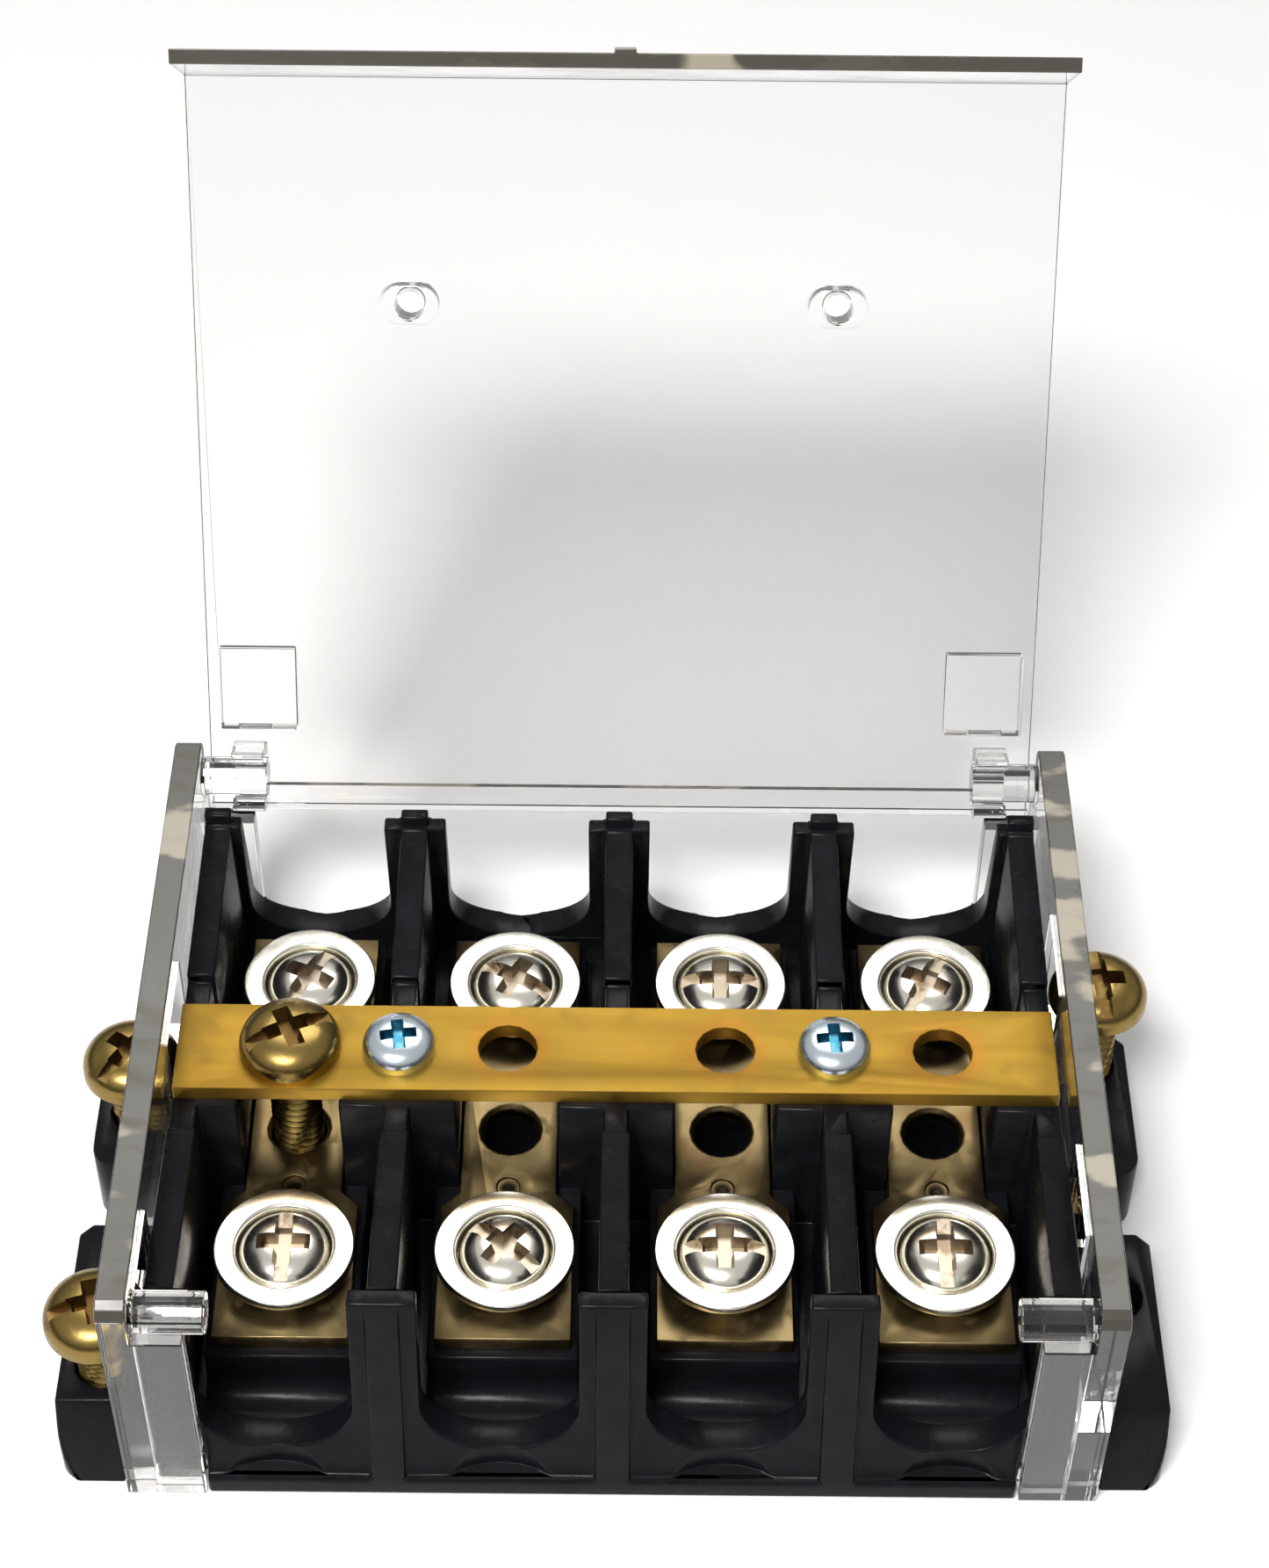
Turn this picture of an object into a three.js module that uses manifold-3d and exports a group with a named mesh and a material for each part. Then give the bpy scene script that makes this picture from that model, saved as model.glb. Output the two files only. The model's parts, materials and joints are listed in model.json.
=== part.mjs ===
// Four-pole short-circuiting terminal block with a hinged clear cover.
// Millimetres, +Z up. X runs along the poles, -Y is the front, and the origin
// is the middle of the underside of the moulded base.

import * as THREE from 'three';
import { mergeVertices } from 'three/addons/utils/BufferGeometryUtils.js';
import Module from 'manifold-3d';

const wasm = await Module();
wasm.setup();

// ---- Driving dimensions ---------------------------------------------------

const poleCount = 4;
const polePitch = 19.05;

const baseDepth = 63.7;
const lipHeight = 2.3;
const lipChamfer = 0.5;
const floorHeight = 3.0;
const seatHeight = 19.5;
const wallRise = 1.9;
const wallLean = 4.65;
const wallThickness = 1.6;
const wallBatter = 3.1;
const wallFootRise = 2.3;
const wallToe = 1.0;
const barrierThickness = 2.1;
const shoulderThickness = 2.5;
const shoulderStart = 8.5;
const shoulderStep = 1.0;
const prowThickness = 2.9;
const prowDrop = 2.4;
const nibHeight = 1.2;
const nibDepth = 1.2;
const entryMargin = 2.85;
const entryBottom = 4.6;
const entryRound = 5.0;
const scoopRadius = 8.1;
const scoopDepth = 1.3;
const endWallThickness = 2.2;
const endWallProud = 0.5;
const barBlockDepth = 10.6;

const pedestalSide = 0.6;
const pedestalLip = 0.9;
const pedestalFillet = 2.0;
const wellFloor = 1.8;

const strapTop = 9.4;
const strapThickness = 1.6;
const strapEndGap = 3.2;
const strapWidth = 11.8;
const strapWaist = 8.5;
const waistReach = 7.0;
const waistSlope = 1.5;
const tappedBore = 5.1;
const boreChamfer = 0.35;
const terminalInset = 7.4;

const barWidth = 9.4;
const barThickness = 1.6;
const barEndMargin = 0.4;
const barHoleBore = 5.2;
const barScrewHoleBore = 3.9;

const threadDiameter = 4.8;
const headDiameter = 8.9;
const headHeight = 2.9;
const shortingReach = 0.2;
const terminalHeadDiameter = 8.1;
const terminalHeadHeight = 2.9;
const terminalLength = 8.0;
const slotWidth = 1.0;
const slotDepth = 0.9;
const recessReach = 0.25;
const recessBlade = 0.065;
const recessShare = 0.45;
const barScrewThread = 3.5;
const barScrewHead = 6.4;
const barScrewHeadHeight = 2.0;
const barScrewLength = 8.0;

const washerDiameter = 12.2;
const washerRim = 1.65;
const washerThickness = 0.9;
const washerDish = 2.0;

const insertDiameter = 5.6;
const insertLength = 9.5;
const rivetDiameter = 2.0;
const rivetHead = 3.8;
const rivetHeadHeight = 0.9;
const rivetShare = 0.3788;
const rivetSink = 0.1;
const rivetTopGap = 0.35;
const rivetTopChamfer = 0.2;

const earHeight = 8.0;
const earBeyondHole = 3.8;
const earCorner = 2.2;
const frontEarInset = 3.85;
const frontEarLength = 18.2;
const frontEarFlare = 3.0;
const rearEarLength = 16.2;
const fixingGap = 6.4;
const storageBore = 5.1;
const storedHeadGap = 0.35;
const storageInset = { leftFront: 3.9, leftRear: 6.3, rightFront: 11.6, rightRear: 12.8 };
const storedLow = 0.9;
const storedHigh = 4.0;

const sheetThickness = 2.45;
const sheetOverhang = 0.15;
const sheetCorner = 1.2;
const headRoom = 3.0;
const flangeReach = 4.2;
const flangeThickness = 2.0;
const frontFlangeDrop = 4.6;
const rearFlangeDrop = 9.6;
const reliefAbove = 3.0;
const pegDiameter = 3.6;
const pegLength = 6.1;
const pegInset = 2.15;
const pegDrop = 3.0;

const coverThickness = 1.8;
const coverOverhang = 3.15;
const coverTail = 4.1;
const coverSideGap = 0.4;
const clipTipGap = 0.2;
const coverOpenAngle = 116;
const skirtDepth = 10.35;
const skirtThickness = 1.3;
const skirtFlare = 14;
const tailRibWidth = 2.0;
const tailRibHeight = 1.0;
const clipWall = 1.2;
const clipWidth = 3.0;
const clipMouth = 100;
const windowNear = 3.9;
const windowDepth = 7.8;
const windowWidth = 7.0;
const windowMargin = 1.2;
const bossReach = 44.4;
const bossLength = 5.3;
const bossWidth = 3.6;
const bossBore = 2.6;
const bossHeight = 1.6;
const gateWidth = 1.9;
const gateDepth = 0.35;

const slidingFit = 0.3;
const pressFit = 0.05;
const sideGap = 0.3;
const roundSides = 16;

// ---- Derived places -------------------------------------------------------

const spanHalf = poleCount * polePitch / 2;
const bodyHalf = spanHalf + endWallProud;
const sheetInner = bodyHalf + sideGap;
const sheetOuter = sheetInner + sheetThickness;
const poles = Array.from({ length: poleCount }, (_, i) => (i + 0.5) * polePitch - spanHalf);
const walls = Array.from({ length: poleCount + 1 }, (_, i) => i * polePitch - spanHalf);

const baseHalf = baseDepth / 2;
const wallTop = seatHeight + wallRise;
const wallTopOuter = baseHalf - wallLean;
const wallFoot = wallTopOuter + wallBatter + wallToe;
const entryHalf = polePitch / 2 - entryMargin;
const strapUnder = strapTop - strapThickness;
const strapHalf = wallTopOuter - wallThickness - strapEndGap;
const terminalRow = strapHalf - terminalInset;
const rivetRow = -tappedBore / 2 - rivetShare * (terminalRow - tappedBore);
const barTop = seatHeight + barThickness;
const shortingLength = barTop - strapUnder + shortingReach;
const insertWalls = [walls[1], walls[poleCount - 1]];

const sheetHalf = baseHalf + sheetOverhang;
const sheetHeight = barTop + headHeight + headRoom;
const pegRow = sheetHalf - pegInset;
const pegHeight = sheetHeight - pegDrop;
const coverReach = pegRow + sheetHalf + coverOverhang;

// Two ears on each side, with a gap between them for a fixing screw.
const storageOffset = bodyHalf + headDiameter / 2 + storedHeadGap;
const earOuter = storageOffset + earBeyondHole;
const frontEar = { from: frontEarInset - baseHalf, to: frontEarInset - baseHalf + frontEarLength };
const rearEar = { from: frontEar.to + fixingGap, to: frontEar.to + fixingGap + rearEarLength };
const storedScrews = [
  {
    name: 'left_front', side: -1,
    y: frontEar.from + storageInset.leftFront, under: shortingLength + storedLow,
  },
  {
    name: 'left_rear', side: -1,
    y: rearEar.from + storageInset.leftRear, under: shortingLength + storedLow,
  },
  {
    name: 'right_rear', side: 1,
    y: rearEar.from + storageInset.rightRear, under: shortingLength + storedHigh,
  },
];
const emptyStorage = { side: 1, y: frontEar.from + storageInset.rightFront };
const storagePlaces = [...storedScrews, emptyStorage];
const highestStored = Math.max(...storedScrews.map((stored) => stored.under));
const reliefTop = highestStored + headHeight + reliefAbove;

// ---- Finishes -------------------------------------------------------------

function finish(color, roughness, metalness, opacity = 1) {
  return () => new THREE.MeshStandardMaterial({
    color, roughness, metalness, opacity, transparent: opacity < 1,
  });
}

const blackMoulding = finish(0x17181b, 0.5, 0.0);
const barBrass = finish(0xb8862b, 0.42, 1.0);
const darkBrass = finish(0x8c7431, 0.4, 1.0);
const nickel = finish(0xc9c4b8, 0.28, 1.0);
const strapMetal = finish(0x9a8f7c, 0.38, 1.0);
const zinc = finish(0xb4c1cc, 0.3, 1.0);
const clear = finish(0xf2f1ee, 0.08, 0.0, 0.3);

// ---- Shapes ---------------------------------------------------------------

function closedMesh(geometry) {
  const bare = geometry.clone();
  bare.deleteAttribute('normal');
  bare.deleteAttribute('uv');
  const merged = mergeVertices(bare, 1e-4);
  const kept = [];
  const index = merged.index.array;
  for (let i = 0; i < index.length; i += 3) {
    const [a, b, c] = [index[i], index[i + 1], index[i + 2]];
    if (a !== b && b !== c && c !== a) kept.push(a, b, c);
  }
  merged.setIndex(kept);
  return merged;
}

function solid(geometry) {
  const mesh = closedMesh(geometry);
  return new wasm.Manifold(new wasm.Mesh({
    numProp: 3,
    vertProperties: new Float32Array(mesh.attributes.position.array),
    triVerts: new Uint32Array(mesh.index.array),
  }));
}

function geometryOf(body) {
  const mesh = body.getMesh();
  const geometry = new THREE.BufferGeometry();
  geometry.setAttribute('position', new THREE.BufferAttribute(mesh.vertProperties, 3));
  geometry.setIndex(new THREE.BufferAttribute(mesh.triVerts, 1));
  geometry.computeVertexNormals();
  return geometry;
}

function join(first, ...others) {
  return others.reduce((body, other) => body.add(other), first);
}

function cut(first, ...others) {
  return others.reduce((body, other) => body.subtract(other), first);
}

function block([x0, x1], [y0, y1], [z0, z1]) {
  const geometry = new THREE.BoxGeometry(x1 - x0, y1 - y0, z1 - z0);
  return solid(geometry.translate((x0 + x1) / 2, (y0 + y1) / 2, (z0 + z1) / 2));
}

function upright(diameter, z0, z1, x = 0, y = 0, segments = roundSides) {
  const geometry = new THREE.CylinderGeometry(diameter / 2, diameter / 2, z1 - z0, segments);
  return solid(geometry.rotateX(Math.PI / 2).translate(x, y, (z0 + z1) / 2));
}

function lyingAlongX(diameter, x0, x1, y, z, segments = roundSides) {
  const geometry = new THREE.CylinderGeometry(diameter / 2, diameter / 2, x1 - x0, segments);
  return solid(geometry.rotateZ(Math.PI / 2).translate((x0 + x1) / 2, y, z));
}

function turned(profile, segments = roundSides) {
  const points = profile.map(([r, z]) => new THREE.Vector2(r, z));
  return solid(new THREE.LatheGeometry(points, segments).rotateX(Math.PI / 2));
}

function outline(points) {
  return new THREE.Shape(points.map(([u, v]) => new THREE.Vector2(u, v)));
}

function extrude(shape, depth, curveSegments = 4) {
  return new THREE.ExtrudeGeometry(shape, { depth, bevelEnabled: false, curveSegments });
}

// A Y-Z outline swept from x0 to x1.
function alongX(shape, x0, x1, curveSegments = 4) {
  const turn = new THREE.Matrix4().makeBasis(
    new THREE.Vector3(0, 1, 0), new THREE.Vector3(0, 0, 1), new THREE.Vector3(1, 0, 0));
  return solid(extrude(shape, x1 - x0, curveSegments).applyMatrix4(turn).translate(x0, 0, 0));
}

// An X-Z outline swept from y0 to y1.
function alongY(shape, y0, y1, curveSegments = 4) {
  const turn = new THREE.Matrix4().makeBasis(
    new THREE.Vector3(1, 0, 0), new THREE.Vector3(0, 0, 1), new THREE.Vector3(0, -1, 0));
  return solid(extrude(shape, y1 - y0, curveSegments).applyMatrix4(turn).translate(0, y1, 0));
}

// An X-Y outline swept from z0 to z1.
function alongZ(shape, z0, z1, curveSegments = 4) {
  return solid(extrude(shape, z1 - z0, curveSegments).translate(0, 0, z0));
}

// A round-ended outline, longest along its first axis.
function oblong(x, y, length, width) {
  const half = (length - width) / 2;
  const shape = new THREE.Shape();
  shape.absarc(x - half, y, width / 2, Math.PI / 2, 1.5 * Math.PI);
  shape.absarc(x + half, y, width / 2, -Math.PI / 2, Math.PI / 2);
  return shape;
}

function mirroredY(points) {
  return points.map(([y, z]) => [-y, z]).reverse();
}

// ---- Moulded base ---------------------------------------------------------

// The front and rear walls lean inwards from a battered foot to their top.
function wallProfile() {
  return [
    [wallTopOuter - wallThickness, wallTop],
    [wallTopOuter + 0.4, floorHeight - 1],
    [wallFoot, floorHeight - 1],
    [wallFoot, lipHeight],
    [wallTopOuter + wallBatter, lipHeight + wallFootRise],
    [wallTopOuter, wallTop],
  ];
}

function entryCut(x) {
  const shape = new THREE.Shape();
  const top = wallTop + 5;
  shape.moveTo(x - entryHalf, top);
  shape.lineTo(x - entryHalf, entryBottom + entryRound);
  shape.absellipse(x, entryBottom + entryRound, entryHalf, entryRound, Math.PI, 2 * Math.PI);
  shape.lineTo(x + entryHalf, top);
  return shape;
}

function outerWall(sign) {
  const profile = sign > 0 ? wallProfile() : mirroredY(wallProfile());
  let wall = alongX(outline(profile), -bodyHalf, bodyHalf);
  const near = wallTopOuter - 2 * wallThickness - 1;
  const far = baseHalf + 2;
  const range = sign > 0 ? [near, far] : [-far, -near];
  const scoopRow = wallFoot - scoopDepth + scoopRadius;
  for (const x of poles) {
    const scoop = upright(2 * scoopRadius, lipHeight, entryBottom + 1, x, sign * scoopRow, 2 * roundSides);
    wall = cut(wall, alongY(entryCut(x), ...range, 12), scoop);
  }
  return wall;
}

// A barrier: a low middle under the bar, raised shoulders, and a prow at each end.
function barrier(x) {
  const isEnd = Math.abs(Math.abs(x) - spanHalf) < 1e-6;
  const edges = (thickness) => {
    if (!isEnd) return [x - thickness / 2, x + thickness / 2];
    const inner = bodyHalf - Math.max(endWallThickness, thickness);
    return x < 0 ? [-bodyHalf, -inner] : [inner, bodyHalf];
  };
  const middle = block(edges(barrierThickness), [-shoulderStart - 1, shoulderStart + 1], [1, seatHeight]);
  const shoulder = [
    [shoulderStart, 1],
    [wallTopOuter, 1],
    [wallTopOuter, wallTop],
    [shoulderStart, seatHeight + shoulderStep],
  ];
  const prow = [
    [wallTopOuter - wallThickness, 1],
    [baseHalf, 1],
    [baseHalf, lipHeight],
    [wallTopOuter + lipChamfer, wallTop - prowDrop],
    [wallTopOuter, wallTop],
    [wallTopOuter - wallThickness, wallTop],
  ];
  const nibEdges = edges(shoulderThickness);
  const nib = block(nibEdges, [wallTopOuter - nibDepth, wallTopOuter], [wallTop - 1, wallTop + nibHeight]);
  return join(
    middle,
    alongX(outline(shoulder), ...edges(shoulderThickness)),
    alongX(outline(mirroredY(shoulder)), ...edges(shoulderThickness)),
    alongX(outline(prow), ...edges(isEnd ? shoulderThickness : prowThickness)),
    alongX(outline(mirroredY(prow)), ...edges(isEnd ? shoulderThickness : prowThickness)),
    nib,
  );
}

function barBlock(x) {
  const half = polePitch / 2 - strapWaist / 2 - 0.2;
  const range = [Math.max(x - half, -bodyHalf), Math.min(x + half, bodyHalf)];
  return block(range, [-barBlockDepth / 2, barBlockDepth / 2], [1, seatHeight]);
}

function pedestal(x) {
  const half = strapHalf + pedestalLip;
  const foot = new THREE.Shape();
  foot.moveTo(half - 0.5, 1);
  foot.lineTo(half + pedestalFillet, 1);
  foot.lineTo(half + pedestalFillet, floorHeight);
  const filletTop = floorHeight + pedestalFillet;
  foot.absarc(half + pedestalFillet, filletTop, pedestalFillet, -Math.PI / 2, -Math.PI, true);
  foot.lineTo(half - 0.5, filletTop);
  const sides = [x - strapWidth / 2 - pedestalSide, x + strapWidth / 2 + pedestalSide];
  const rearFoot = alongX(foot, ...sides, 3);
  return join(block(sides, [-half, half], [1, strapUnder]), rearFoot, rearFoot.mirror([0, 1, 0]));
}

// An ear carries the storage holes; its front can flare towards the table.
function ear(side, { from, to }, flare) {
  const inner = sheetOuter + sideGap;
  const low = from - flare;
  const plan = new THREE.Shape();
  plan.moveTo(inner, low);
  plan.lineTo(earOuter - earCorner, low);
  plan.absarc(earOuter - earCorner, low + earCorner, earCorner, -Math.PI / 2, 0);
  plan.lineTo(earOuter, to - earCorner / 2);
  plan.lineTo(earOuter - earCorner / 2, to);
  plan.lineTo(inner, to);
  const profile = outline([[low, 0], [to, 0], [to, earHeight], [from, earHeight]]);
  const outer = alongZ(plan, 0, earHeight).intersect(alongX(profile, inner, earOuter));
  const body = join(outer, block([bodyHalf - 0.6, inner + 0.5], [from, to], [0, earHeight]));
  return side < 0 ? body.mirror([1, 0, 0]) : body;
}

function baseMoulding() {
  const half = baseHalf;
  const slab = [
    [-half, 0],
    [half, 0],
    [half, lipHeight - lipChamfer],
    [half - lipChamfer, lipHeight],
    [-half + lipChamfer, lipHeight],
    [-half, lipHeight - lipChamfer],
  ];
  let body = join(
    alongX(outline(slab), -bodyHalf, bodyHalf),
    block([-bodyHalf, bodyHalf], [-wallTopOuter, wallTopOuter], [1, floorHeight]),
    outerWall(1),
    outerWall(-1),
    ...walls.map(barrier),
    ...walls.map(barBlock),
    ...poles.map(pedestal),
  );
  const rebate = sheetHalf - flangeThickness - sideGap;
  const corner = sheetInner - flangeReach - sideGap;
  for (const side of [-1, 1]) {
    for (const end of [-1, 1]) {
      const xs = side > 0 ? [corner, bodyHalf + 1] : [-bodyHalf - 1, -corner];
      const ys = end > 0 ? [rebate, half + 1] : [-half - 1, -rebate];
      body = cut(body, block(xs, ys, [-1, wallTop + 5]));
    }
    body = join(body, ear(side, frontEar, frontEarFlare), ear(side, rearEar, 0));
  }
  for (const spot of storagePlaces) {
    body = cut(body, upright(storageBore, -1, earHeight + 1, spot.side * storageOffset, spot.y));
  }
  const well = tappedBore + 2 * sideGap;
  const rivetBore = rivetDiameter + 2 * pressFit;
  const rivetRecess = rivetHead + 4 * pressFit;
  for (const x of poles) {
    const rows = [-terminalRow, 0, terminalRow];
    const wells = rows.map((y) => upright(well, wellFloor, strapUnder + 1, x, y, 12));
    const rivetHole = upright(rivetBore, -1, strapUnder + 1, x, rivetRow, 12);
    const headRecess = upright(rivetRecess, -1, rivetHeadHeight + 0.2, x, rivetRow, 12);
    body = cut(body, ...wells, rivetHole, headRecess);
  }
  for (const x of insertWalls) {
    body = cut(body, upright(insertDiameter + 2 * pressFit, seatHeight - insertLength, seatHeight + 1, x));
  }
  return body;
}

// ---- Metal parts ----------------------------------------------------------

function chamferedBore(diameter, z0, z1, x, y) {
  const radius = diameter / 2;
  const cone = turned([
    [0, z1 - boreChamfer],
    [radius, z1 - boreChamfer],
    [radius + boreChamfer + 0.2, z1 + 0.2],
    [0, z1 + 0.2],
  ]).translate([x, y, 0]);
  return join(upright(diameter, z0 - 1, z1 + 1, x, y), cone);
}

function terminalStrap(x) {
  const half = strapHalf;
  const wide = strapWidth / 2;
  const waist = strapWaist / 2;
  const shape = outline([
    [x - wide, -half],
    [x + wide, -half],
    [x + wide, -waistReach - waistSlope],
    [x + waist, -waistReach],
    [x + waist, waistReach],
    [x + wide, waistReach + waistSlope],
    [x + wide, half],
    [x - wide, half],
    [x - wide, waistReach + waistSlope],
    [x - waist, waistReach],
    [x - waist, -waistReach],
    [x - wide, -waistReach - waistSlope],
  ]);
  return cut(
    alongZ(shape, strapUnder, strapTop),
    chamferedBore(tappedBore, strapUnder, strapTop, x, 0),
    upright(tappedBore, strapUnder - 1, strapTop + 1, x, -terminalRow),
    upright(tappedBore, strapUnder - 1, strapTop + 1, x, terminalRow),
    upright(rivetDiameter + 2 * pressFit, strapUnder - 1, strapTop + 1, x, rivetRow, 12),
  );
}

// A domed screw head with a cross recess and a straight slot, on a plain shank.
function screw({ head, height, edge, thread, length, slot }) {
  const radius = head / 2;
  const rise = height - edge;
  const profile = [[0, -length], [thread / 2 - 0.4, -length], [thread / 2, -length + 0.6], [thread / 2, 0]];
  profile.push([radius, 0], [radius, edge]);
  const steps = 3;
  for (let i = 1; i < steps; i += 1) {
    const angle = i * Math.PI / 2 / steps;
    profile.push([radius * Math.cos(angle), edge + rise * Math.sin(angle)]);
  }
  profile.push([0, height]);
  const wing = head * recessReach;
  const blade = head * recessBlade;
  const recess = height * recessShare;
  const tools = [
    block([-wing, wing], [-blade, blade], [height - recess, height + 1]),
    block([-blade, blade], [-wing, wing], [height - recess, height + 1]),
  ];
  if (slot > 0) tools.push(block([-radius, radius], [-slot / 2, slot / 2], [height - slotDepth, height + 1]));
  return cut(turned(profile), ...tools);
}

function terminalScrew() {
  return screw({
    head: terminalHeadDiameter, height: terminalHeadHeight, edge: 0.9,
    thread: threadDiameter, length: terminalLength, slot: slotWidth,
  });
}

function shortingScrew() {
  return screw({
    head: headDiameter, height: headHeight, edge: 0.7,
    thread: threadDiameter, length: shortingLength, slot: slotWidth,
  });
}

function barScrew() {
  return screw({
    head: barScrewHead, height: barScrewHeadHeight, edge: 0.6,
    thread: barScrewThread, length: barScrewLength, slot: 0,
  });
}

// A dished washer: the head sits in the dish and the flat rim clamps the wire.
function dishedWasher() {
  const outer = washerDiameter / 2;
  const mouth = outer - washerRim;
  const bore = threadDiameter / 2 + 0.3;
  return turned([
    [bore, 0],
    [mouth - 0.3, 0],
    [mouth + 0.15, washerDish],
    [outer, washerDish],
    [outer, washerDish + washerThickness],
    [mouth, washerDish + washerThickness],
    [mouth - 0.2, washerThickness],
    [bore, washerThickness],
    [bore, 0],
  ]);
}

function shortingBar() {
  const half = bodyHalf + sideGap - barEndMargin;
  let bar = block([-half, half], [-barWidth / 2, barWidth / 2], [seatHeight, barTop]);
  for (const x of poles) bar = cut(bar, upright(barHoleBore, seatHeight - 1, barTop + 1, x, 0));
  for (const x of insertWalls) bar = cut(bar, upright(barScrewHoleBore, seatHeight - 1, barTop + 1, x, 0));
  return bar;
}

function barInsert() {
  const inner = barScrewThread / 2 + slidingFit / 2;
  const outer = insertDiameter / 2;
  const top = -pressFit;
  const bottom = -insertLength + pressFit;
  return turned([[inner, bottom], [outer, bottom], [outer, top], [inner, top], [inner, bottom]]);
}

function strapRivet() {
  return turned([
    [0, rivetSink],
    [rivetHead / 2, rivetSink],
    [rivetHead / 2, rivetHeadHeight],
    [rivetDiameter / 2, rivetHeadHeight],
    [rivetDiameter / 2, strapTop - rivetTopGap + rivetTopChamfer],
    [rivetDiameter / 4, strapTop - rivetTopGap],
    [0, strapTop - rivetTopGap],
  ], 12);
}

// ---- Clear end plates and cover -------------------------------------------

function endPlate(side) {
  const half = sheetHalf;
  const c = sheetCorner;
  const plate = alongX(outline([
    [-half, 0],
    [half, 0],
    [half, sheetHeight - c],
    [half - c / 3, sheetHeight - c / 3],
    [half - c, sheetHeight],
    [-half + c, sheetHeight],
    [-half + c / 3, sheetHeight - c / 3],
    [-half, sheetHeight - c],
  ]), sheetInner, sheetOuter);
  const reach = [sheetInner - flangeReach, sheetInner + 0.5];
  let body = join(
    plate,
    block(reach, [-half, -half + flangeThickness], [0, sheetHeight - frontFlangeDrop]),
    block(reach, [half - flangeThickness, half], [0, sheetHeight - rearFlangeDrop]),
    lyingAlongX(pegDiameter, sheetInner - pegLength, sheetInner + 0.5, -pegRow, pegHeight),
    lyingAlongX(pegDiameter, sheetInner - pegLength, sheetInner + 0.5, pegRow, pegHeight),
  );
  const through = [sheetInner - 0.05, sheetOuter + 1];
  for (const { from, to } of [frontEar, rearEar]) {
    body = cut(body, block(through, [from - sideGap, to + sideGap], [-1, earHeight + sideGap]));
  }
  const reliefHalf = headDiameter / 2 + storedHeadGap;
  for (const spot of storagePlaces.filter((stored) => stored.side === side)) {
    const range = [spot.y - reliefHalf, spot.y + reliefHalf];
    body = cut(body, block(through, range, [-1, reliefTop]));
  }
  return side < 0 ? body.mirror([1, 0, 0]) : body;
}

// The cover is shaped closed, about its hinge axis: its front is towards -Y.
function cover() {
  const clipInner = pegDiameter / 2 + slidingFit;
  const under = clipInner;
  const top = under + coverThickness;
  const half = sheetInner - coverSideGap;
  const lean = Math.tan(THREE.MathUtils.degToRad(skirtFlare));
  const skirtFoot = -coverReach - skirtDepth * lean;
  const skirt = outline([
    [-coverReach, top],
    [skirtFoot, top - skirtDepth],
    [skirtFoot + skirtThickness, top - skirtDepth],
    [-coverReach + skirtThickness, top],
  ]);
  let body = join(
    block([-half, half], [-coverReach, coverTail], [under, top]),
    alongX(skirt, -half, half),
    block([-half, half], [coverTail - tailRibWidth, coverTail], [under, top + tailRibHeight]),
    block([-gateWidth / 2, gateWidth / 2], [skirtFoot - gateDepth, skirtFoot + 0.5],
      [top - skirtDepth, top - skirtDepth + gateWidth / 2]),
  );
  for (const side of [-1, 1]) {
    const windowEdge = half - windowMargin;
    const window = [side * (windowEdge - windowWidth), side * windowEdge].sort((a, b) => a - b);
    body = cut(body, block(window, [-windowNear - windowDepth, -windowNear], [under - 1, top + 1]));
    const tip = sheetInner - pegLength + clipTipGap;
    const clip = side > 0 ? [tip, tip + clipWidth] : [-tip - clipWidth, -tip];
    const pad = oblong(side * polePitch, -bossReach, bossLength, bossWidth);
    const boss = alongZ(pad, under - bossHeight, under + 0.5, 8);
    const bore = upright(bossBore, under - bossHeight - 1, top + 1, side * polePitch, -bossReach);
    body = cut(join(body, hingeClip(clip, clipInner), boss), bore);
  }
  return body;
}

// An open ring that snaps over the peg, with its mouth facing down and forward.
function hingeClip(range, inner) {
  const outer = inner + clipWall;
  const shape = new THREE.Shape();
  const start = THREE.MathUtils.degToRad(clipMouth / 2 - 90);
  const end = THREE.MathUtils.degToRad(270 - clipMouth / 2);
  shape.absarc(0, 0, outer, start, end, false);
  shape.absarc(0, 0, inner, end, start, true);
  return alongX(shape, ...range, 12);
}

// ---- Assembly -------------------------------------------------------------

const assembly = new THREE.Group();

function place(name, body, material, [x, y, z] = [0, 0, 0], turnZ = 0, parent = assembly) {
  const mesh = new THREE.Mesh(geometryOf(body), material());
  mesh.name = name;
  mesh.position.set(x, y, z);
  mesh.rotation.z = THREE.MathUtils.degToRad(turnZ);
  parent.add(mesh);
}

place('base_moulding', baseMoulding(), blackMoulding);
poles.forEach((x, i) => place(`terminal_strap_${i + 1}`, terminalStrap(x), strapMetal));
poles.forEach((x, i) => place(`strap_rivet_${i + 1}`, strapRivet(), strapMetal, [x, rivetRow, 0]));

const slotTurns = {
  front: [90, -38, 0, 90],
  rear: [62, -28, 0, 62],
};
const washerBase = strapTop + pressFit;
const headSeat = washerBase + washerThickness + pressFit;
for (const [row, sign] of [['front', -1], ['rear', 1]]) {
  poles.forEach((x, i) => {
    const y = sign * terminalRow;
    const turn = slotTurns[row][i % slotTurns[row].length];
    place(`washer_${row}_${i + 1}`, dishedWasher(), nickel, [x, y, washerBase]);
    place(`terminal_screw_${row}_${i + 1}`, terminalScrew(), nickel, [x, y, headSeat], turn);
  });
}

place('shorting_bar', shortingBar(), barBrass);
['left', 'right'].forEach((side, i) => {
  const x = insertWalls[i];
  place(`bar_insert_${side}`, barInsert(), darkBrass, [x, 0, seatHeight]);
  place(`bar_screw_${side}`, barScrew(), zinc, [x, 0, barTop]);
});

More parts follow.
